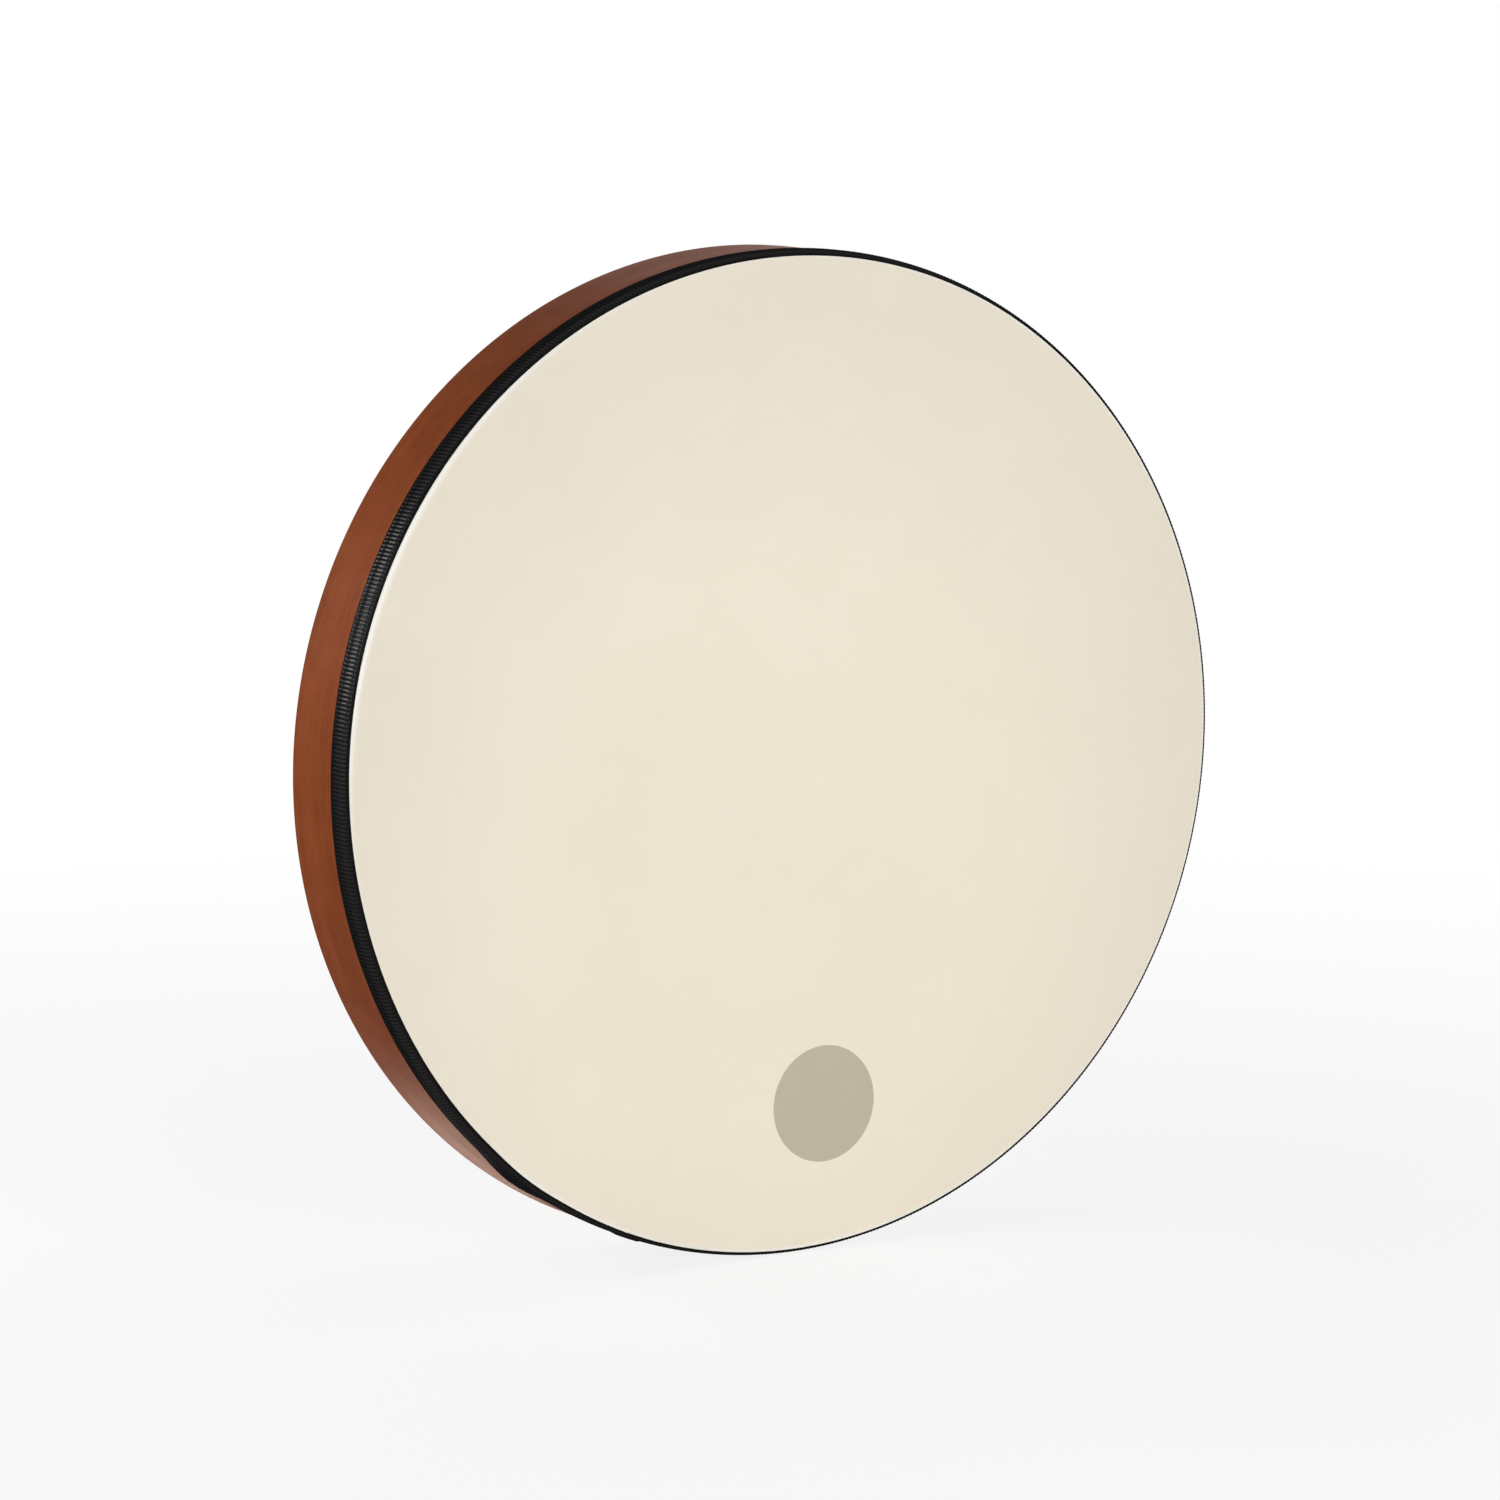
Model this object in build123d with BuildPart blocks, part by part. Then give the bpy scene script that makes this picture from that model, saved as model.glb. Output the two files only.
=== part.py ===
"""A 20 in frame drum: a shallow hoop laminated from wood plies, a glued film head and a ribbon.

The drum hangs upright by its hoop. +Z is up, the head faces -Y and the open back faces +Y.
The origin is where a wall peg carries it: the top of the hoop's inner wall, at half its depth.
Every piece is turned about the drum's axis, which runs along Y below the origin. Millimetres.
"""

import os
from math import asin, cos, degrees, radians, sin, tau

from build123d import *

# Hoop, laminated from plies that are bent and glued face to face, from the inside out
hoop_radius = 254.0
hoop_depth = 56.8
ply_thickness = 1.6
ply_names = ["inner_ply", "ply_2", "ply_3", "ply_4", "outer_ply"]
bearing_round = 4.65  # front outer edge, over which the head is bent
bearing_bevel = 2.2  # front inner edge, cut away so that the head touches only the crest
back_round = 1.3  # both edges of the open back

# Butt seam where the two ends of a ply meet, staggered round the hoop from ply to ply
seam_gap = 0.2
first_seam_angle = 24.0
seam_stagger = 144.0

# Head, a plastic film bent over the front edge and glued down the outside as far as its hem
film_thickness = 0.35
skirt_width = 12.0

# Ribbon, glued round the hoop over the hem, with one end lapped over the other
ribbon_width = 15.4
ribbon_thickness = 0.5
ribbon_setback = 0.6  # from the playing surface back to the ribbon's front edge
ribbon_slope = 1.2  # where the ribbon comes down off the film onto the wood
ribbon_creases = 4  # flat steps that take the ribbon round the bend, each one touching the film
lap_angle = 247.2
lap_length = 9.5
lap_root = 3.0
lap_slit = 0.3  # between the two ends, under the lap

# Printed disc on the head, below its middle
disc_radius = 30.0
disc_thickness = 0.12
disc_rim_gap = 44.2  # from the disc's edge out to the hoop's outside
disc_angle = -84.5

# Places that follow from the sizes above
wall = ply_thickness * len(ply_names)
inner_radius = hoop_radius - wall
axis_height = -inner_radius
drum_axis = Axis((0, 0, axis_height), (0, 1, 0))
hoop_front = -hoop_depth / 2
playing_face = hoop_front - film_thickness
bend_radius = hoop_radius - bearing_round
bend_depth = hoop_front + bearing_round
hem_depth = playing_face + skirt_width


def radial_plane(angle):
    """Half plane through the drum's axis: local x leaves the axis, local y runs front to back."""
    outwards = Vector(cos(radians(angle)), 0, sin(radians(angle)))
    return Plane((0, 0, axis_height), x_dir=outwards, z_dir=outwards.cross(Vector(0, 1, 0)))


def around(length, radius):
    """Angle in degrees that an arc of this length and radius spans."""
    return degrees(length / radius)


def save(piece, name):
    """Label a finished piece and write its file."""
    piece.part.label = name
    export_step(piece.part, f"parts/{name}.step")


os.makedirs("parts", exist_ok=True)

# Section of the hoop's whole wall, from which each ply takes its own band
with BuildSketch(radial_plane(0)) as hoop_section:
    with Locations((inner_radius + wall / 2, 0)):
        Rectangle(wall, hoop_depth)
    chamfer(hoop_section.vertices().group_by(Axis.Y)[0].sort_by(Axis.X)[0], bearing_bevel)
    fillet(hoop_section.vertices().group_by(Axis.Y)[0].sort_by(Axis.X)[-1], bearing_round)
    fillet(hoop_section.vertices().group_by(Axis.Y)[-1], back_round)

for count, name in enumerate(ply_names):
    ply_middle = inner_radius + (count + 0.5) * ply_thickness
    with BuildSketch(radial_plane(first_seam_angle + count * seam_stagger)) as ply_section:
        add(hoop_section.sketch_local)
        with Locations((ply_middle, 0)):
            Rectangle(ply_thickness, hoop_depth, mode=Mode.INTERSECT)
    with BuildPart() as ply:
        add(ply_section.sketch)
        revolve(axis=drum_axis, revolution_arc=-around(tau * ply_middle - seam_gap, ply_middle))
    save(ply, name)

# Head: flat across the drum, round over the bearing edge and straight down the outside
with BuildPart() as head:
    with BuildSketch(radial_plane(0)):
        with BuildLine():
            outer_bend = CenterArc((bend_radius, bend_depth), bearing_round + film_thickness, -90, 90)
            inner_bend = CenterArc((bend_radius, bend_depth), bearing_round, -90, 90)
            Polyline(
                outer_bend @ 1,
                (hoop_radius + film_thickness, hem_depth),
                (hoop_radius, hem_depth),
                inner_bend @ 1,
            )
            Polyline(inner_bend @ 0, (0, hoop_front), (0, playing_face), outer_bend @ 0)
        make_face()
    revolve(axis=drum_axis)
save(head, "head")


def ribbon_face(lift):
    """One face of the ribbon's section from front to back, lifted off the film and the wood."""
    bend_inside = bearing_round + film_thickness
    edge_angle = asin((bend_inside - ribbon_setback) / bend_inside)
    crease = edge_angle / ribbon_creases
    turns = [edge_angle, *[edge_angle - (step + 0.5) * crease for step in range(ribbon_creases)], 0]
    reach = bend_inside + lift
    reaches = [reach, *[reach / cos(crease / 2)] * ribbon_creases, reach]
    bend = [(bend_radius + r * cos(a), bend_depth - r * sin(a)) for r, a in zip(reaches, turns)]
    return [
        *bend,
        (hoop_radius + film_thickness + lift, hem_depth),
        (hoop_radius + lift, hem_depth + ribbon_slope),
        (hoop_radius + lift, playing_face + ribbon_setback + ribbon_width),
    ]


def ribbon_section(layer):
    """Section of the ribbon. Layer 0 lies on the film and the wood, layer 1 lies on layer 0."""
    with BuildSketch() as profile:
        with BuildLine():
            under = ribbon_face(layer * ribbon_thickness)
            over = ribbon_face((layer + 1) * ribbon_thickness)
            Polyline(*under, *reversed(over), close=True)
        make_face()
    return profile.sketch


# Ribbon: once round the hoop from slit to slit, and one end lapped over the slit and the other end
with BuildPart() as ribbon:
    with BuildSketch(radial_plane(lap_angle)):
        add(ribbon_section(0))
    revolve(axis=drum_axis, revolution_arc=-around(tau * hoop_radius - lap_slit, hoop_radius))
    with BuildSketch(radial_plane(lap_angle - around(lap_root, hoop_radius))):
        add(ribbon_section(1))
    revolve(axis=drum_axis, revolution_arc=-around(lap_root + lap_length, hoop_radius))
save(ribbon, "ribbon")

# Printed disc: a plain round patch of ink on the playing surface
disc_distance = hoop_radius - disc_rim_gap - disc_radius
with BuildPart() as disc:
    with BuildSketch(Plane((0, playing_face, axis_height), x_dir=(1, 0, 0), z_dir=(0, -1, 0))):
        with PolarLocations(disc_distance, 1, start_angle=disc_angle):
            Circle(disc_radius)
    extrude(amount=disc_thickness)
save(disc, "printed_disc")
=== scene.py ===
"""A frame drum: a hoop laminated from five wood plies, a glued cream film head, a ribbed black
ribbon lapped round its edge and a plain printed disc. Metres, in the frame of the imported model:
the drum's axis runs along Y, the head faces -Y and the open back faces +Y.
"""

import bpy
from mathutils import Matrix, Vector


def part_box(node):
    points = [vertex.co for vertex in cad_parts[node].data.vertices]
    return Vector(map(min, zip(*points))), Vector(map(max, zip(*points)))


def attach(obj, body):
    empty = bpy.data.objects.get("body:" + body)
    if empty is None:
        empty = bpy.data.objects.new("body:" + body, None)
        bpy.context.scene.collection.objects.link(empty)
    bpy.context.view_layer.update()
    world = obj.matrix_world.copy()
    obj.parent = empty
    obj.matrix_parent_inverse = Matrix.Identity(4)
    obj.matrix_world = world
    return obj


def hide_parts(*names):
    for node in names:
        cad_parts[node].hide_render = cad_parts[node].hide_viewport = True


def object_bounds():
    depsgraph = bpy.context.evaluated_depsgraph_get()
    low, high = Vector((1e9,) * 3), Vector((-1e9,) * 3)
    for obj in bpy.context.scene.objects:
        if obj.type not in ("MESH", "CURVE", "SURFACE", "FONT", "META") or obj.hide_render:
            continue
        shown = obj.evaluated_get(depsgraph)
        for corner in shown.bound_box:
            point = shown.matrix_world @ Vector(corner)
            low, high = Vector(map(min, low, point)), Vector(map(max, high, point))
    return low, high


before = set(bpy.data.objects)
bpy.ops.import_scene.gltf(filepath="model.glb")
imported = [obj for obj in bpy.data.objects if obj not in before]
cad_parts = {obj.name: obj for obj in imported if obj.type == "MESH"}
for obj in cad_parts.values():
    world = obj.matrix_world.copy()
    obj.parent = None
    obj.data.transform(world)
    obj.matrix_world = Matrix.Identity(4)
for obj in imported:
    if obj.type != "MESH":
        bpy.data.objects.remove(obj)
packed_box = [list(corner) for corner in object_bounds()]

import bpy
import numpy as np
from mathutils import Vector

# ---------------------------------------------------------------------------------------------
# Hoop. Five sheets of hardwood veneer are bent round a former and glued face to face, each with
# its own butt seam, then the edges are rounded and the whole is stained reddish brown and given
# a satin lacquer. The veneer's grain runs round the hoop.
# ---------------------------------------------------------------------------------------------
seam_angles = {"inner_ply": 24, "ply_2": 168, "ply_3": 312, "ply_4": 96, "outer_ply": 240}
seam_gap = 0.0002
ply_count = len(seam_angles)
hoop_low, hoop_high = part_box("outer_ply")
inside_low, inside_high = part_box("inner_ply")
middle_low, middle_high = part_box("ply_3")
hoop_radius = round(float(hoop_high[0] - hoop_low[0]) / 2, 4)
axis_height = round(float(hoop_high[2] + hoop_low[2]) / 2, 4)
inner_ply_radius = round(float(inside_high[0] - inside_low[0]) / 2, 4)  # its outer face
ply_thickness = round((hoop_radius - inner_ply_radius) / (ply_count - 1), 4)
inner_radius = round(hoop_radius - ply_count * ply_thickness, 4)
hoop_front, hoop_back = float(middle_low[1]), float(middle_high[1])
bearing_round = 0.00465  # front outer edge, under the head
bearing_bevel = 0.0022  # front inner edge
back_round = 0.0013
glue_line_depth = 0.00007
glue_line_width = 0.00006
rim_reach = 0.0016  # how far from an edge the colour darkens
ply_turns = 721
ply_sharp_angle = 35
ply_across = (1 - np.cos(np.linspace(0, np.pi, 15))) / 2  # places through a ply's thickness
ply_along = np.array([0.004, 0.02, 0.06, 0.25, 0.5, 0.75, 0.94, 0.98, 0.996])  # and its depth


def hoop_front_at(r):
    """Front edge of the hoop's wall at radius r: the bevel rises straight to the crest, then the
    bearing round falls as a quarter circle y = centre - sqrt(round^2 - (r - centre)^2)."""
    bevel = np.clip(bearing_bevel - (r - inner_radius), 0, None)
    past = np.clip(r - (hoop_radius - bearing_round), 0, bearing_round)
    return hoop_front + bevel + bearing_round - np.sqrt(bearing_round**2 - past**2)


def hoop_back_at(r):
    """Back edge of the hoop's wall at radius r: flat, with a quarter circle at both sides and a
    fine bell-shaped groove, exp(-(distance / width)^2), where two plies are glued."""
    near = np.clip(np.minimum(r - inner_radius, hoop_radius - r), 0, back_round)
    turned = back_round - np.sqrt(back_round**2 - (back_round - near) ** 2)
    lines = inner_radius + ply_thickness * np.arange(1, ply_count)
    off = np.abs(r[:, None] - lines).min(1)
    return hoop_back - turned - glue_line_depth * np.exp(-((off / glue_line_width) ** 2))


def ply_profile(count):
    """Section of ply number count: out along the front edge, back down the outer wall, in along
    the back edge and forward up the inner wall, with places crowded towards every corner."""
    across = inner_radius + ply_thickness * (count + ply_across)
    front, back = hoop_front_at(across), hoop_back_at(across)
    outer_wall = front[-1] + (back[-1] - front[-1]) * ply_along
    inner_wall = back[0] + (front[0] - back[0]) * ply_along
    outer_r, inner_r = np.full_like(ply_along, across[-1]), np.full_like(ply_along, across[0])
    r = np.concatenate([across, outer_r, across[::-1], inner_r])
    y = np.concatenate([front, outer_wall, back[::-1], inner_wall])
    return np.stack([r, y], -1)


def rim_mark(profile):
    """How near a place is to the hoop's front or back edge, as exp(-distance / reach)."""
    off = np.minimum(hoop_back - profile[:, 1], profile[:, 1] - hoop_front)
    return np.exp(-np.clip(off, 0, None) / rim_reach)


def closed_strip(name, spots, round_it, along, end_map):
    """A mesh from a grid of points, spots[turn, place]: each turn's places join into a ring, each
    ring is walled to the next, and the first and last rings are closed flat. Its UV map holds
    metres round the hoop and metres along the ring, and the end map on the two ends."""
    turns, places = spots.shape[:2]
    a, p = np.meshgrid(np.arange(turns - 1), np.arange(places), indexing="ij")
    step = (p + 1) % places
    ring, next_ring = a * places, (a + 1) * places
    corners = np.stack([ring + p, ring + step, next_ring + step, next_ring + p], -1)
    first_end = np.arange(places)[::-1]
    last_end = (turns - 1) * places + np.arange(places)
    faces = corners.reshape(-1, 4).tolist() + [first_end.tolist(), last_end.tolist()]
    mesh = bpy.data.meshes.new(name)
    mesh.from_pydata(spots.reshape(-1, 3).tolist(), [], faces)
    around_face = ((0, 0), (0, 1), (1, 1), (1, 0))
    wall = [np.stack([round_it[a + i], along[p + j]], -1) for i, j in around_face]
    uv = np.vstack([np.stack(wall, 2).reshape(-1, 2), end_map[::-1], end_map])
    mesh.uv_layers.new(name="metres").uv.foreach_set("vector", uv.astype(np.float32).ravel())
    return mesh


def mark_points(mesh, name, values):
    """Gives each point of a mesh a value that its material reads by name."""
    layer = mesh.attributes.new(name, "FLOAT", "POINT")
    layer.data.foreach_set("value", values.ravel().astype(np.float32))


def piece_of(mesh, sharp_angle=None):
    """Puts a mesh in the scene under its own name, smooth but for edges past an angle."""
    mesh.polygons.foreach_set("use_smooth", np.ones(len(mesh.polygons), bool))
    if sharp_angle is not None:
        mesh.set_sharp_from_angle(angle=np.radians(sharp_angle))
    piece = bpy.data.objects.new(mesh.name, mesh)
    bpy.context.scene.collection.objects.link(piece)
    return piece


def turned_band(name, angles, profile, rim):
    """A closed profile carried round part of the drum's axis, with flat ends. The point at angle
    a and profile place (r, y) is (r cos a, y, axis height + r sin a). Its UV map holds metres
    round the hoop and metres along the profile, and rim is a mark for each profile place."""
    r, y = profile.T
    spots = np.empty((len(angles), len(profile), 3))
    spots[..., 0] = np.cos(angles)[:, None] * r
    spots[..., 1] = y
    spots[..., 2] = axis_height + np.sin(angles)[:, None] * r
    sides = np.hypot(*np.diff(np.vstack([profile, profile[:1]]), axis=0).T)
    along = np.append(0, np.cumsum(sides))
    round_it = (angles - angles[0]) * hoop_radius
    mesh = closed_strip(name, spots, round_it, along, profile)
    mark_points(mesh, "rim", np.tile(rim, len(angles)))
    return piece_of(mesh, ply_sharp_angle)


def node(tree, kind, inputs=None, **settings):
    """Adds a shader node. Each input is a number, a colour or another node's output."""
    made = tree.nodes.new(f"ShaderNode{kind}")
    for key, value in settings.items():
        setattr(made, key, value)
    for key, value in (inputs or {}).items():
        if isinstance(value, bpy.types.NodeSocket):
            tree.links.new(value, made.inputs[key])
        else:
            made.inputs[key].default_value = value
    return made


def blended(tree, mask, first, second, blend_type="MIX"):
    """Mixes two colours by a mask and gives the mixed colour's output."""
    inputs = {0: mask, 6: first, 7: second}
    return node(tree, "Mix", inputs, data_type="RGBA", blend_type=blend_type).outputs[2]


def spread(tree, value, low, high, new_low=0.0, new_high=1.0):
    """Maps a value from low..high to new_low..new_high, held at both ends."""
    inputs = {0: value, 1: low, 2: high, 3: new_low, 4: new_high}
    return node(tree, "MapRange", inputs, clamp=True).outputs[0]


def times(tree, value, factor):
    """The product of two values."""
    return node(tree, "Math", {0: value, 1: factor}, operation="MULTIPLY").outputs[0]


def times_plus(tree, value, factor, extra):
    """The product of two values, and a third value added."""
    inputs = {0: value, 1: factor, 2: extra}
    return node(tree, "Math", inputs, operation="MULTIPLY_ADD").outputs[0]


def new_group(name, inputs):
    """A shader group with these inputs that puts out a colour, a roughness and a height. Gives
    the group and the nodes inside it that hold its inputs and its outputs."""
    group = bpy.data.node_groups.new(name, "ShaderNodeTree")
    outputs = {"Colour": "Color", "Roughness": "Float", "Height": "Float"}
    for way, sockets in (("INPUT", inputs), ("OUTPUT", outputs)):
        for label, kind in sockets.items():
            socket_type = f"NodeSocket{kind}"
            group.interface.new_socket(name=label, in_out=way, socket_type=socket_type)
    return group, group.nodes.new("NodeGroupInput"), group.nodes.new("NodeGroupOutput")


def placed(tree, group, where, values):
    """Places a shader group that reads its place from where, with the other inputs' values."""
    made = node(tree, "Group", node_tree=group)
    tree.links.new(where, made.inputs["Place"])
    for key, value in values.items():
        made.inputs[key].default_value = value
    return made.outputs


def new_finish(name):
    """A new material, with its node tree and the shader that carries its finish."""
    material = bpy.data.materials.new(name)
    material.use_nodes = True
    return material, material.node_tree, material.node_tree.nodes["Principled BSDF"]


def feed(tree, finish, sources):
    """Links each source to the input of its name, on a shader or a group's output node."""
    for key, source in sources.items():
        tree.links.new(source, finish.inputs[key])


def relief(tree, height, strength, distance):
    """The normal of a surface raised by a height."""
    inputs = {"Height": height, "Strength": strength, "Distance": distance}
    return node(tree, "Bump", inputs).outputs[0]


# Grain of straight-cut veneer: broad figure, fine streaks and short dark pores, all drawn out
# along the first coordinate, which runs with the wood.
grain, grain_in, grain_out = new_group("veneer grain", {
    "Place": "Vector",
    "Stain": "Color",
    "Deep stain": "Color",
    "Figure": "Float",
    "Pores": "Float",
    "Shift": "Float",
})
grain_shift = node(grain, "CombineXYZ", {"Z": grain_in.outputs["Shift"]}).outputs[0]
shifted = {0: grain_in.outputs["Place"], 1: grain_shift}
grain_place = node(grain, "VectorMath", shifted, operation="ADD").outputs[0]


def drawn_out(along, across, detail, roughness, distortion=0.0):
    """Noise whose cells are 1/along metres long with the grain and 1/across metres wide."""
    stretch = {0: grain_place, 1: (along, across, 1)}
    scaled = node(grain, "VectorMath", stretch, operation="MULTIPLY").outputs[0]
    settings = {"Vector": scaled, "Scale": 1.0, "Detail": detail}
    settings.update({"Roughness": roughness, "Distortion": distortion})
    return node(grain, "TexNoise", settings).outputs["Fac"]


figure_mask = spread(grain, drawn_out(7, 60, 3, 0.55, 0.4), 0.3, 0.7)
streak_mask = spread(grain, drawn_out(18, 380, 6, 0.66), 0.35, 0.7)
cloud_mask = spread(grain, drawn_out(55, 40, 3, 0.6), 0.3, 0.7)
pore_mask = spread(grain, drawn_out(130, 3600, 2, 0.5), 0.64, 0.72)
worked = times(grain, figure_mask, 0.45)
worked = times_plus(grain, streak_mask, 0.5, worked)
worked = times_plus(grain, cloud_mask, 0.45, worked)
figured = times(grain, worked, grain_in.outputs["Figure"])
pored = times(grain, pore_mask, grain_in.outputs["Pores"])
stained = blended(grain, figured, grain_in.outputs["Stain"], grain_in.outputs["Deep stain"])
sunk = times_plus(grain, pored, -1.0, 1.0)
feed(grain, grain_out, {
    "Colour": blended(grain, pored, stained, grain_in.outputs["Deep stain"]),
    "Roughness": spread(grain, worked, 0, 1, 0.5, 0.62),
    "Height": times_plus(grain, streak_mask, 0.12, sunk),
})

grain_strength, grain_depth = 0.25, 0.00012
lacquer_gloss = 0.26  # where the surface turns away, and none where it faces the eye
lacquer_roughness = 0.5
wood_specular = 0.022


def wood(name, stain, deep_stain, edge_colour, figure, pores, shift):
    """Lacquered veneer: the grain group on the ply's own metres, darkened towards the edges."""
    material, tree, finish = new_finish(name)
    metres = node(tree, "UVMap", uv_map="metres").outputs[0]
    values = {"Stain": stain, "Deep stain": deep_stain, "Figure": figure, "Pores": pores}
    veneer = placed(tree, grain, metres, {**values, "Shift": shift})
    rim = node(tree, "Attribute", attribute_name="rim").outputs["Fac"]
    near_rim = spread(tree, rim, 0.15, 1.0, 0.0, 0.6)
    turned_away = node(tree, "LayerWeight", {"Blend": 0.5}).outputs["Facing"]
    feed(tree, finish, {
        # The colour darkens towards the hoop's front and back edges.
        "Base Color": blended(tree, near_rim, veneer["Colour"], edge_colour),
        "Roughness": veneer["Roughness"],
        "Normal": relief(tree, veneer["Height"], grain_strength, grain_depth),
        "Coat Weight": spread(tree, turned_away, 0.66, 0.8, 0.0, lacquer_gloss),
    })
    finish.inputs["Coat Roughness"].default_value = lacquer_roughness
    finish.inputs["Specular IOR Level"].default_value = wood_specular
    return material


face_wood = wood(
    "stained face veneer",
    stain=(0.34, 0.082, 0.0235, 1),
    deep_stain=(0.16, 0.034, 0.009, 1),
    edge_colour=(0.11, 0.022, 0.007, 1),
    figure=0.55,
    pores=0.5,
    shift=0.0,
)
lining_wood = wood(
    "stained lining veneer",
    stain=(0.3, 0.074, 0.023, 1),
    deep_stain=(0.13, 0.029, 0.01, 1),
    edge_colour=(0.1, 0.024, 0.009, 1),
    figure=0.6,
    pores=0.6,
    shift=3.7,
)
dark_core_wood = wood(
    "stained core veneer dark",
    stain=(0.135, 0.034, 0.014, 1),
    deep_stain=(0.07, 0.018, 0.008, 1),
    edge_colour=(0.1, 0.026, 0.011, 1),
    figure=0.6,
    pores=0.7,
    shift=7.1,
)
light_core_wood = wood(
    "stained core veneer light",
    stain=(0.2, 0.055, 0.022, 1),
    deep_stain=(0.11, 0.028, 0.012, 1),
    edge_colour=(0.15, 0.042, 0.018, 1),
    figure=0.6,
    pores=0.7,
    shift=9.3,
)
ply_finishes = {
    "inner_ply": (lining_wood, "hoop_wood"),
    "ply_2": (dark_core_wood, "core_wood"),
    "ply_3": (light_core_wood, "core_wood"),
    "ply_4": (dark_core_wood, "core_wood"),
    "outer_ply": (face_wood, "hoop_wood"),
}
for count, (ply_node, (finish, slot)) in enumerate(ply_finishes.items()):
    section = ply_profile(count)
    gap = seam_gap / (inner_radius + (count + 0.5) * ply_thickness)
    start = np.radians(seam_angles[ply_node])
    ply_angles = np.linspace(start, start + 2 * np.pi - gap, ply_turns)
    ply = turned_band(f"{ply_node}_veneer", ply_angles, section, rim_mark(section))
    ply.data.materials.append(finish)
    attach(ply, "root")
    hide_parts(ply_node)

# ---------------------------------------------------------------------------------------------
# Head. A sheet of cream polyester film is stretched flat, bent over the hoop's front edge and
# glued down the outside as far as its hem. Its surface is smooth and satin, with the faintest
# fibrous cloudiness in the film itself, and a painted highlight pales it over the bend.
# ---------------------------------------------------------------------------------------------
head_low, head_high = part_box("head")
playing_face, hem_depth = float(head_low[1]), float(head_high[1])
film_thickness = hoop_front - playing_face
bend_radius, bend_depth = hoop_radius - bearing_round, hoop_front + bearing_round
head_turns = 720
skin_sharp_angle = 40
# Painted shade: the film's colour darkens outwards from this centre, set a little low and left.
rim_shade_centre = (-0.01, 0, axis_height - 0.055)
rim_shade_start, rim_shade_end = 0.15, 0.28  # metres from that centre
# Painted highlight: a paler film colour over the bend, where the curved film catches the light.
painted_bend_highlight = (0.97, 0.95, 0.88, 1)
bend_highlight_depth = 0.0007  # down the bend, how far the painted highlight reaches
film_strength = 0.2
flat_places = np.array([0, 0.06, 0.15, 0.3, 0.45, 0.6, 0.72, 0.82, 0.9, 0.95, 0.98, 0.995])
skirt_places = np.linspace(0.05, 0.97, 6)


def turned_skin(name, profile, turns, centre=(0.0, axis_height)):
    """A profile from pole to pole carried right round an axis along Y. The point at angle a and
    profile place (r, y) is (centre x + r cos a, y, centre z + r sin a), and the first and last
    places, where r is 0, are one point each. Its UV map holds metres across, seen along Y."""
    r, y = profile[1:-1].T
    places = len(r)
    angles = np.linspace(0, 2 * np.pi, turns, endpoint=False)
    ring = np.empty((turns, places, 3))
    ring[..., 0] = centre[0] + np.cos(angles)[:, None] * r
    ring[..., 1] = y
    ring[..., 2] = centre[1] + np.sin(angles)[:, None] * r
    poles = np.array([[centre[0], pole, centre[1]] for pole in (profile[0, 1], profile[-1, 1])])
    spots = np.vstack([ring.reshape(-1, 3), poles])
    first_pole, last_pole = turns * places, turns * places + 1
    a, p = np.meshgrid(np.arange(turns), np.arange(places - 1), indexing="ij")
    here, onward = a * places, (a + 1) % turns * places
    corners = np.stack([here + p, here + p + 1, onward + p + 1, onward + p], -1)
    here, onward = here[:, 0], onward[:, 0]
    first_fan = np.stack([np.full(turns, first_pole), here, onward], -1)
    last = places - 1
    last_fan = np.stack([np.full(turns, last_pole), onward + last, here + last], -1)
    faces = corners.reshape(-1, 4).tolist() + first_fan.tolist() + last_fan.tolist()
    mesh = bpy.data.meshes.new(name)
    mesh.from_pydata(spots.tolist(), [], faces)
    point_of_loop = np.empty(len(mesh.loops), np.int32)
    mesh.loops.foreach_get("vertex_index", point_of_loop)
    uv = spots[point_of_loop][:, [0, 2]]
    mesh.uv_layers.new(name="metres").uv.foreach_set("vector", uv.astype(np.float32).ravel())
    return piece_of(mesh, skin_sharp_angle)


def head_profile():
    """Out across the playing face, round the bend as a quarter circle, down the skirt to a hem
    with a half-round lip, and back the same way along the film's underside."""
    flat = bend_radius * flat_places
    turn = np.linspace(-np.pi / 2, 0, 15)
    skirt = bend_depth + (hem_depth - bend_depth) * skirt_places
    lip = np.linspace(0, np.pi, 7)[1:-1]
    outer, inner = bearing_round + film_thickness, bearing_round
    half = film_thickness / 2
    r = np.concatenate([
        flat,
        bend_radius + outer * np.cos(turn),
        np.full_like(skirt, hoop_radius + film_thickness),
        hoop_radius + half + half * np.cos(lip),
        np.full_like(skirt, hoop_radius),
        bend_radius + inner * np.cos(turn[::-1]),
        flat[::-1],
    ])
    y = np.concatenate([
        np.full_like(flat, playing_face),
        bend_depth + outer * np.sin(turn),
        skirt,
        hem_depth - half + half * np.sin(lip),
        skirt[::-1],
        bend_depth + inner * np.sin(turn[::-1]),
        np.full_like(flat, hoop_front),
    ])
    return np.stack([r, y], -1)


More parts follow.
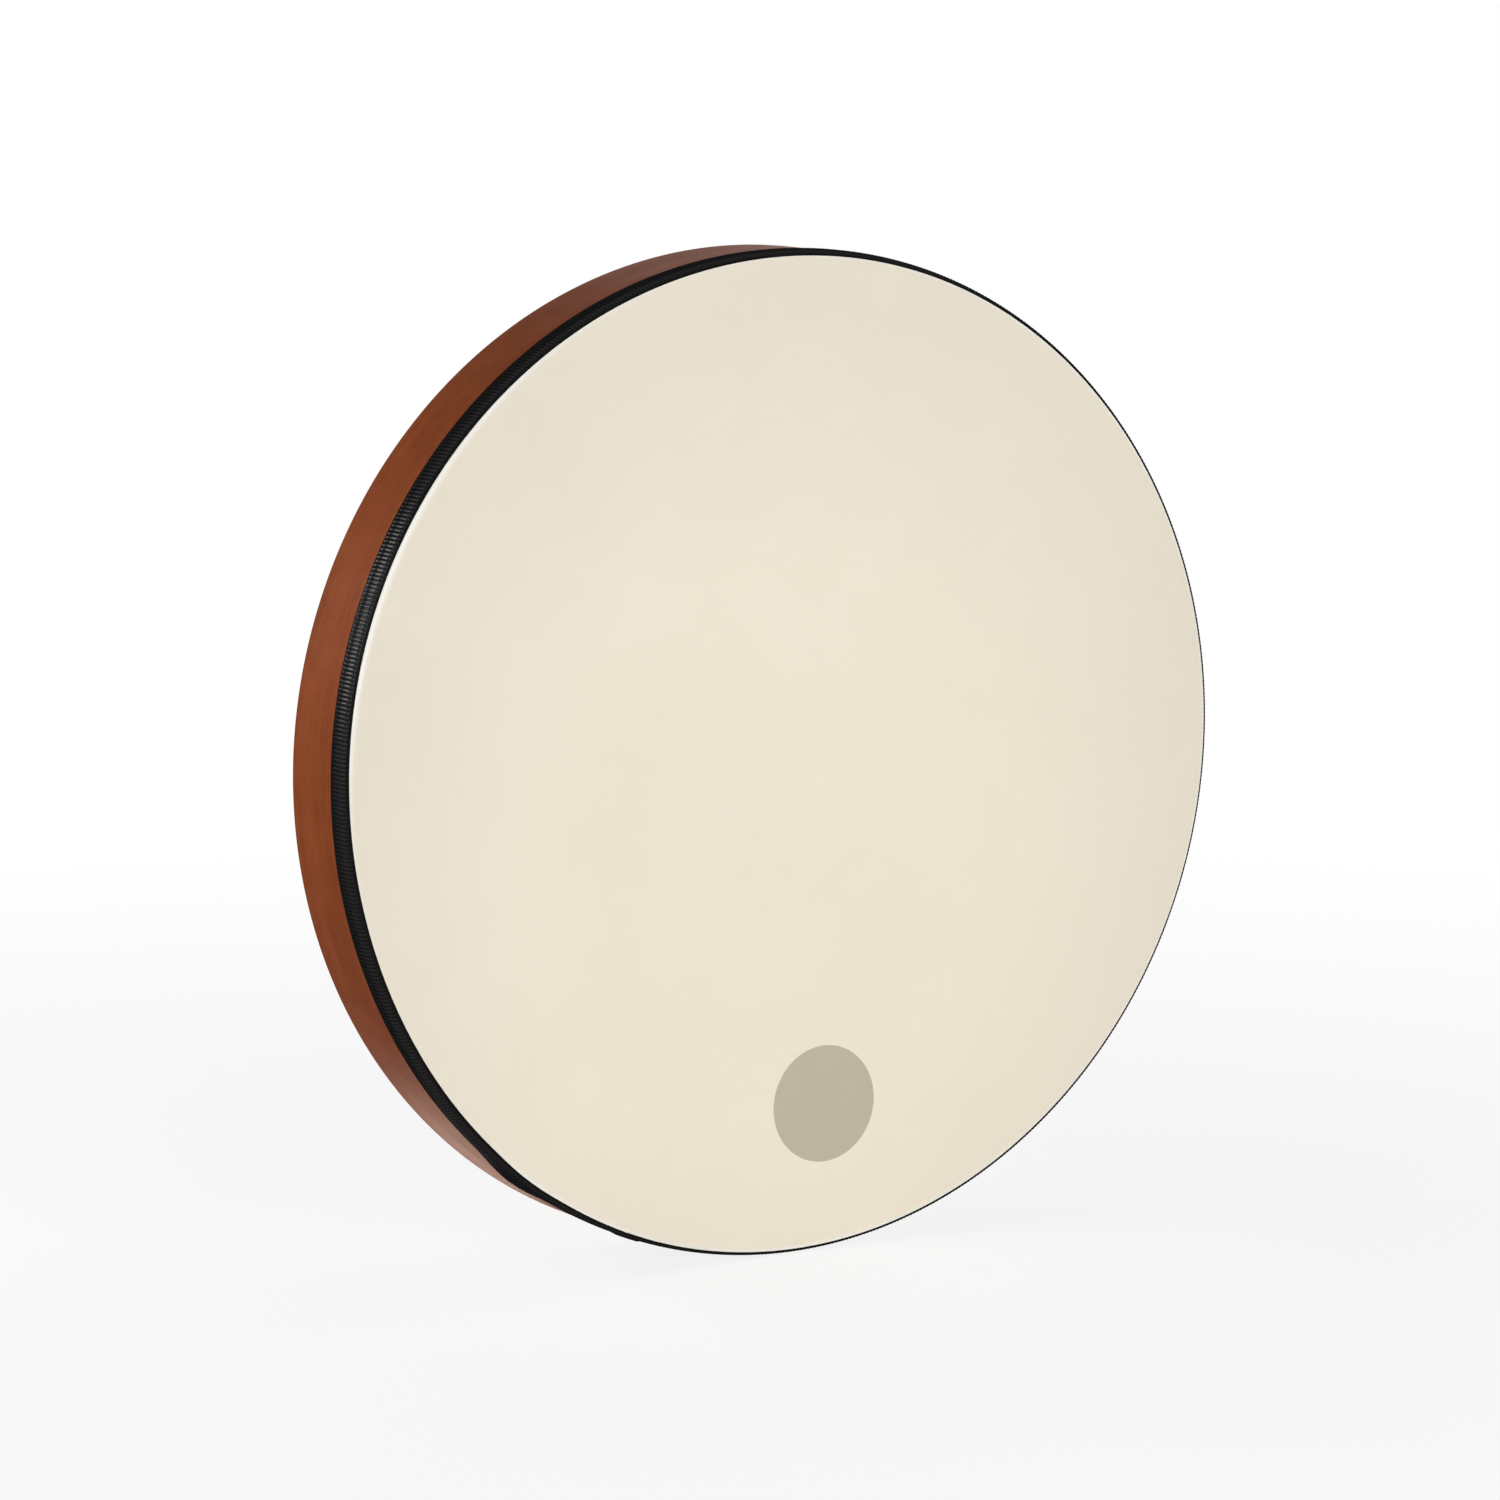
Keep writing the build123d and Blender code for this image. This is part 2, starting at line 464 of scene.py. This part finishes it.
# Cloudiness of a cast film or of printed ink: two sizes of soft noise between two colours.
cloudiness, cloud_in, cloud_out = new_group("film cloudiness", {
    "Place": "Vector",
    "Light": "Color",
    "Shade": "Color",
    "Size": "Float",
})
cloud_place, cloud_size = cloud_in.outputs["Place"], cloud_in.outputs["Size"]
soft_noise = {"Vector": cloud_place, "Scale": cloud_size, "Detail": 3.0, "Roughness": 0.6}
soft = node(cloudiness, "TexNoise", soft_noise).outputs["Fac"]
finer = times(cloudiness, cloud_size, 45.0)
fibre_noise = {"Vector": cloud_place, "Scale": finer, "Detail": 3.0, "Roughness": 0.7}
fibre = node(cloudiness, "TexNoise", fibre_noise).outputs["Fac"]
soft_mask = spread(cloudiness, soft, 0.3, 0.7, 0.0, 0.65)
fibre_mask = spread(cloudiness, fibre, 0.3, 0.75, 0.0, 0.35)
both = node(cloudiness, "Math", {0: soft_mask, 1: fibre_mask}, operation="ADD").outputs[0]
feed(cloudiness, cloud_out, {
    "Colour": blended(cloudiness, both, cloud_in.outputs["Light"], cloud_in.outputs["Shade"]),
    "Roughness": spread(cloudiness, both, 0, 1, 0.42, 0.52),
    "Height": fibre,
})


def film(name, light, shade, size, relief_depth, gloss, painted_rim_shade):
    """A thin smooth layer, such as cast film or ink, with the cloudiness group on its own place.
    Painted shade deepens its colour towards the hoop, standing in for the wall keeping light from
    shining through from behind, and a painted highlight pales the film over the bend."""
    material, tree, finish = new_finish(name)
    where = node(tree, "TexCoord").outputs["Object"]
    cloudy = placed(tree, cloudiness, where, {"Light": light, "Shade": shade, "Size": size})
    across = node(tree, "VectorMath", {0: where, 1: (1, 0, 1)}, operation="MULTIPLY").outputs[0]
    from_centre = {0: across, 1: rim_shade_centre}
    outwards = node(tree, "VectorMath", from_centre, operation="DISTANCE").outputs["Value"]
    # Painted shade: the colour is darkened towards the hoop, for light that the wall keeps out.
    rim_shade_share = spread(tree, outwards, rim_shade_start, rim_shade_end)
    rim_shaded = blended(tree, rim_shade_share, cloudy["Colour"], painted_rim_shade, "MULTIPLY")
    depth = node(tree, "SeparateXYZ", {0: where}).outputs["Y"]
    # Painted highlight: the film's colour is paled from the playing face down the bend.
    bent = spread(tree, depth, playing_face, playing_face + bend_highlight_depth)
    feed(tree, finish, {
        "Base Color": blended(tree, bent, rim_shaded, painted_bend_highlight),
        "Roughness": cloudy["Roughness"],
        "Normal": relief(tree, cloudy["Height"], film_strength, relief_depth),
    })
    finish.inputs["Specular IOR Level"].default_value = gloss
    return material


cream_film = film(
    "cream film",
    light=(0.862, 0.79, 0.655, 1),
    shade=(0.83, 0.757, 0.622, 1),
    size=14.0,
    relief_depth=0.00002,
    gloss=0.3,
    # painted shade towards the hoop
    painted_rim_shade=(0.915, 0.915, 0.92, 1),
)
head = turned_skin("head_film_skin", head_profile(), head_turns)
head.data.materials.append(cream_film)
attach(head, "root")
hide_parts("head")

# ---------------------------------------------------------------------------------------------
# Ribbon. A black ribbed ribbon is glued round the hoop over the head's hem to hide it. Its ribs
# cross its width between two plain selvedges, it wanders a little off its line as hand work
# does, and its end laps over its start low on one side.
# ---------------------------------------------------------------------------------------------
ribbon_setback = 0.00077  # from the playing face back to the ribbon's front edge
ribbon_front = playing_face + ribbon_setback
ribbon_back = float(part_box("ribbon")[1][1])
ribbon_wander = 0.0013  # how far it is laid off its line, to and fro, mostly on the left side
wander_angle = 150.0  # where it lies furthest back
pucker_angle = 232.3  # where its back edge stands a little off the wood
pucker_degrees = 7.0
pucker_height = 0.00205
pucker_shift = 0.0006  # how far the ribbon is dragged back there
ribbon_slope = 0.0012  # where it comes down off the film onto the wood
cloth_thickness = 0.00031
edge_round = 0.0002
front_selvedge, back_selvedge = 0.0012, 0.0007
rib_height = 0.00019
rib_end = 0.0005  # how far a rib takes to rise from the selvedge
rib_sharpness = 1.3
ribs_round = 760
steps_per_rib = 6
lap_angle = 247.2
lap_degrees = 2.14
climb_degrees = 0.9
over_places = np.array([  # places across its width, back over the top
    0, 0.012, 0.035, 0.075, 0.1, 0.16, 0.24, 0.34, 0.47, 0.62, 0.75, 0.86, 0.93, 0.965, 0.99, 1,
])
under_places = np.array([0.995, 0.66, 0.25, 0.005])  # and forward again underneath
thread_scale = 1500.0
thread_strength, thread_depth = 0.4, 0.00003
# The second colour is a painted highlight on the ribs' crests: paler and bluish, where they catch
# the light.
dark_thread, crest_highlight_colour = (0.0055, 0.0047, 0.0043, 1), (0.018, 0.0187, 0.021, 1)
sheen_roughness = 0.27


def ribbon_line(along):
    """Where the ribbon's underside lies, and the outward direction there, for a distance along
    the film from the end of its bend, negative towards the playing face: a circle round the bend,
    straight down the film's skirt, an easy slope past the hem, and straight on the wood."""
    radius = bearing_round + film_thickness
    turn = np.minimum(along, 0) / radius
    y = bend_depth + np.where(along < 0, radius * np.sin(turn), along)
    down = np.clip((along - (hem_depth - bend_depth)) / ribbon_slope, 0, 1)
    ease = down * down * (3 - 2 * down)
    r = bend_radius + radius * np.cos(turn) - film_thickness * ease
    return r, y, np.cos(turn), np.sin(turn)


def ribbed_ribbon(name):
    """A strip carried round the hoop, from its start to the end that laps over it. At angle a
    and distance v from the front edge its face stands thickness * rounding + rib height * rib
    above its underside. Rounding is sqrt(1 - (1 - distance / edge round)^2) near both edges, and
    rib is ((1 + cos(ribs * a)) / 2)^sharpness, which fades to nothing at the selvedges. Both
    faces are lifted by one thickness where the strip has climbed over its own start. The whole
    strip is shifted along the film by wander * sin(a / 2)^2 * cos(3 * (a - wander angle)). The
    pucker is cos(turn)^2 of the angle from its middle: there both faces are lifted by its height
    * (share of the way from the bend to the back edge)^2, and the strip is dragged back too."""
    degrees_round = 360 + lap_degrees
    columns = int(ribs_round * steps_per_rib * degrees_round / 360) + 1
    a = np.radians(lap_angle + np.linspace(0, degrees_round, columns))
    past_climb = (np.degrees(a) - lap_angle - 360 + climb_degrees) / climb_degrees
    climbed = np.clip(past_climb, 0, 1)
    lift = (cloth_thickness + rib_height) * climbed * climbed * (3 - 2 * climbed)
    radius = bearing_round + film_thickness
    bend_run = radius * np.arcsin((bend_depth - ribbon_front) / radius)
    run = bend_run + ribbon_back - bend_depth
    over, under = run * over_places, run * under_places
    edge = np.minimum(over, run - over)
    plain = np.where(over < run / 2, front_selvedge, back_selvedge)
    rounded = 1 - np.clip(edge / edge_round, 0, 1)
    body = cloth_thickness * np.sqrt(np.clip(1 - rounded**2, 0.05, 1))
    ribbed = np.clip((edge - plain) / rib_end, 0, 1)
    wave = (1 + np.cos(ribs_round * (a - a[0]))) / 2
    height = body + rib_height * ribbed * wave[:, None] ** rib_sharpness
    flat_under = np.zeros((columns, len(under)))
    height = np.hstack([height, flat_under]) + lift[:, None]
    v = np.append(over, under)
    off_pucker = np.abs(np.degrees(a) - 360 - pucker_angle) / pucker_degrees
    pucker = np.cos(np.clip(off_pucker, 0, 1) * np.pi / 2) ** 2
    leaning = np.clip((v - bend_run) / (run - bend_run), 0, 1) ** 2
    height = height + pucker_height * pucker[:, None] * leaning
    waves_round = np.cos(3 * (a - np.radians(wander_angle)))
    shift = ribbon_wander * np.sin(a / 2) ** 2 * waves_round + pucker_shift * pucker
    r0, y0, out_r, out_y = ribbon_line(v - bend_run + shift[:, None])
    r, y = r0 + height * out_r, y0 + height * out_y
    spots = [r * np.cos(a)[:, None], y, axis_height + r * np.sin(a)[:, None]]
    round_it = (a - a[0]) * hoop_radius
    along, end_map = np.append(v, v[0]), np.stack([v, v], -1)
    mesh = closed_strip(name, np.stack(spots, -1), round_it, along, end_map)
    mark_points(mesh, "crest", np.hstack([ribbed * wave[:, None], flat_under]))
    return piece_of(mesh)


def ribbon_cloth():
    """Black rayon: fine threads along the ribbon over its ribs, a soft sheen on the crests, and a
    painted highlight: a paler, bluish colour on the crests.
    """
    material, tree, finish = new_finish("black ribbed ribbon")
    metres = node(tree, "UVMap", uv_map="metres").outputs[0]
    crest = node(tree, "Attribute", attribute_name="crest").outputs["Fac"]
    waves = {"Vector": metres, "Scale": thread_scale, "Distortion": 1.2}
    waves.update({"Detail": 1.0, "Detail Scale": 0.4})
    threads = node(tree, "TexWave", waves, bands_direction="Y").outputs["Fac"]
    fuzz = node(tree, "TexNoise", {"Vector": metres, "Scale": thread_scale, "Detail": 2.0})
    highlight_breakup = spread(tree, fuzz.outputs["Fac"], 0.3, 0.7, 0.6, 1.0)
    # Painted highlight: the crests take the paler colour, broken up a little by the fuzz noise.
    crest_highlight_share = times(tree, times(tree, crest, threads), highlight_breakup)
    turned_away = node(tree, "LayerWeight", {"Blend": 0.5}).outputs["Facing"]
    faced = spread(tree, turned_away, 0.42, 0.62, 1.0, 0.12)
    feed(tree, finish, {
        "Base Color": blended(tree, crest_highlight_share, dark_thread, crest_highlight_colour),
        "Roughness": spread(tree, crest, 0, 1, 0.4, 0.17),
        "Normal": relief(tree, threads, thread_strength, thread_depth),
        "Coat Weight": times(tree, faced, spread(tree, crest, 0, 1, 0.1, 0.3)),
    })
    finish.inputs["Coat Roughness"].default_value = sheen_roughness
    finish.inputs["Specular IOR Level"].default_value = 0.0
    return material


ribbon = ribbed_ribbon("ribbed_ribbon")
ribbon.data.materials.append(ribbon_cloth())
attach(ribbon, "root")
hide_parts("ribbon")

# ---------------------------------------------------------------------------------------------
# Printed disc. A flat round of warm grey ink is screened on the head below its middle. It is
# left plain, with a softly rounded rim, and stands a hair proud of the film.
# ---------------------------------------------------------------------------------------------
disc_low, disc_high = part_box("printed_disc")
disc_centre = (float(disc_low[0] + disc_high[0]) / 2, float(disc_low[2] + disc_high[2]) / 2)
disc_radius = float(disc_high[0] - disc_low[0]) / 2
disc_turns = 256
ink_face = float(disc_low[1])
ink_edge = 0.0001  # how far in from the rim the ink begins to fall away
disc_profile = np.array([
    [0, ink_face],
    [disc_radius * 0.5, ink_face],
    [disc_radius - 3 * ink_edge, ink_face],
    [disc_radius - 0.7 * ink_edge, ink_face + 0.2 * ink_edge],
    [disc_radius, ink_face + ink_edge],
    [disc_radius, playing_face],
    [disc_radius * 0.5, playing_face],
    [0, playing_face],
])
ink = film(
    "warm grey ink",
    light=(0.515, 0.462, 0.361, 1),
    shade=(0.49, 0.436, 0.337, 1),
    size=60.0,
    relief_depth=0.000015,
    gloss=0.25,
    # painted shade towards the hoop, faint on the ink
    painted_rim_shade=(0.96, 0.96, 0.96, 1),
)
disc = turned_skin("printed_disc_ink", disc_profile, disc_turns, disc_centre)
disc.data.materials.append(ink)
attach(disc, "root")
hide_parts("printed_disc")

# ---------------------------------------------------------------------------------------------
# Floor and surroundings. The drum stands on its rim on plain white paper, in a white room that
# lights it evenly. The paper keeps a soft shadow round the drum's foot and whitens further off.
# ---------------------------------------------------------------------------------------------
floor_height = packed_box[0][2]
floor_half = 40.0
paper_colour = (0.92, 0.92, 0.92, 1)
white = (1, 1, 1, 1)
foot_start, foot_end = 0.3, 1.3  # metres from the drum's foot
foot_share = 0.85  # how much of the paper is seen as plain white at the foot, and 1 further off
room_light = 0.12
floor_outline = [(-floor_half, -floor_half), (floor_half, -floor_half)]
floor_outline += [(floor_half, floor_half), (-floor_half, floor_half)]
floor_mesh = bpy.data.meshes.new("floor")
floor_mesh.from_pydata([(x, y, floor_height) for x, y in floor_outline], [], [(0, 1, 2, 3)])
floor = bpy.data.objects.new("floor", floor_mesh)
bpy.context.scene.collection.objects.link(floor)


def seen_directly(tree):
    """1 where the camera looks at a thing, straight or in a mirror or through glass, else 0."""
    path = node(tree, "LightPath").outputs
    seen = path["Is Camera Ray"]
    for ray in ("Is Glossy Ray", "Is Transmission Ray"):
        seen = node(tree, "Math", {0: seen, 1: path[ray]}, operation="MAXIMUM").outputs[0]
    return seen


paper = bpy.data.materials.new("white floor")
paper.use_nodes = True
paper_tree = paper.node_tree
paper_tree.nodes.remove(paper_tree.nodes["Principled BSDF"])
matt = node(paper_tree, "BsdfDiffuse", {"Color": paper_colour}).outputs[0]
glow = node(paper_tree, "Emission", {"Color": white, "Strength": 1.0}).outputs[0]
from_foot = {0: node(paper_tree, "TexCoord").outputs["Object"], 1: (0, 0, floor_height)}
far = node(paper_tree, "VectorMath", from_foot, operation="DISTANCE").outputs["Value"]
whiter = spread(paper_tree, far, foot_start, foot_end, foot_share, 1.0)
share = times(paper_tree, whiter, seen_directly(paper_tree))
both_papers = node(paper_tree, "MixShader", {0: share, 1: matt, 2: glow}).outputs[0]
feed(paper_tree, paper_tree.nodes["Material Output"], {"Surface": both_papers})
floor_mesh.materials.append(paper)

room = bpy.data.worlds.new("white room")
bpy.context.scene.world = room
room.use_nodes = True
room_tree = room.node_tree
backdrop = room_tree.nodes["Background"]
backdrop.inputs["Color"].default_value = white
seen_light = spread(room_tree, seen_directly(room_tree), 0, 1, room_light, 1.0)
feed(room_tree, backdrop, {"Strength": seen_light})

# ---------------------------------------------------------------------------------------------
# Lamps: a broad soft key and a weaker fill in front, a low strip behind on the right for the
# inside, two small lamps on the left for the hoop's outside and the ribbon's ribs, and a faint
# warm glow off the floor under the hoop.
# ---------------------------------------------------------------------------------------------
def softbox(name, place, aim_at, width, height, power):
    """A rectangular lamp at a place, turned to face a point, that the camera doesn't see."""
    lamp = bpy.data.lights.new(name, "AREA")
    lamp.shape = "RECTANGLE"
    lamp.size, lamp.size_y, lamp.energy = width, height, power
    made = bpy.data.objects.new(name, lamp)
    made.location = place
    way = Vector(place) - Vector(aim_at)
    made.rotation_mode = "QUATERNION"
    made.rotation_quaternion = way.to_track_quat("Z", "Y")
    made.visible_camera = False
    bpy.context.scene.collection.objects.link(made)
    return made


drum_middle = (0.0, 0.0, -0.25)
softbox("front key", (0.45, -3.1, 0.1), drum_middle, 1.6, 1.6, 70.5)
softbox("front fill", (-1.3, -2.6, 0.1), drum_middle, 1.6, 1.6, 11.0)
softbox("rear fill", (1.9, 1.9, -0.2), (0.1, 0.0, -0.25), 1.4, 0.5, 50.0)
glow_x, glow_y = -0.152, 0.118
glow_place, glow_aim = (glow_x, glow_y, floor_height + 0.005), (glow_x, glow_y, 0.0)
floor_glow = softbox("floor glow", glow_place, glow_aim, 0.16, 0.1, 0.11)
floor_glow.data.color = (1.0, 0.94, 0.82)
softbox("side lamp", (-0.571, 0.03, -0.061), (-0.24, 0.03, -0.16), 0.25, 0.25, 0.64)
softbox("back lamp", (-0.575, 0.633, 0.0), (-0.245, -0.02, -0.17), 0.14, 0.14, 1.8)

# ---------------------------------------------------------------------------------------------
# Camera: a long lens, 3 m away, a little above the drum's middle and well round to its left.
# ---------------------------------------------------------------------------------------------
azimuth, elevation = np.radians(-31.43), np.radians(8.38)
camera_distance = 3.048
face_middle = np.array([0.0, playing_face, axis_height])
aim = face_middle + (-0.02672, 0.0, 0.0058)  # a little to the drum's left and above
camera_way = np.array([
    np.sin(azimuth) * np.cos(elevation),
    -np.cos(azimuth) * np.cos(elevation),
    np.sin(elevation),
])
camera_data = bpy.data.cameras.new("camera")
camera_data.lens = 146.4
camera_data.sensor_width = 36.0
camera = bpy.data.objects.new("camera", camera_data)
camera.location = aim + camera_distance * camera_way
camera.rotation_mode = "QUATERNION"
camera.rotation_quaternion = Vector(camera_way).to_track_quat("Z", "Y")
bpy.context.scene.collection.objects.link(camera)
bpy.context.scene.camera = camera
bpy.context.scene.view_settings.view_transform = "Standard"
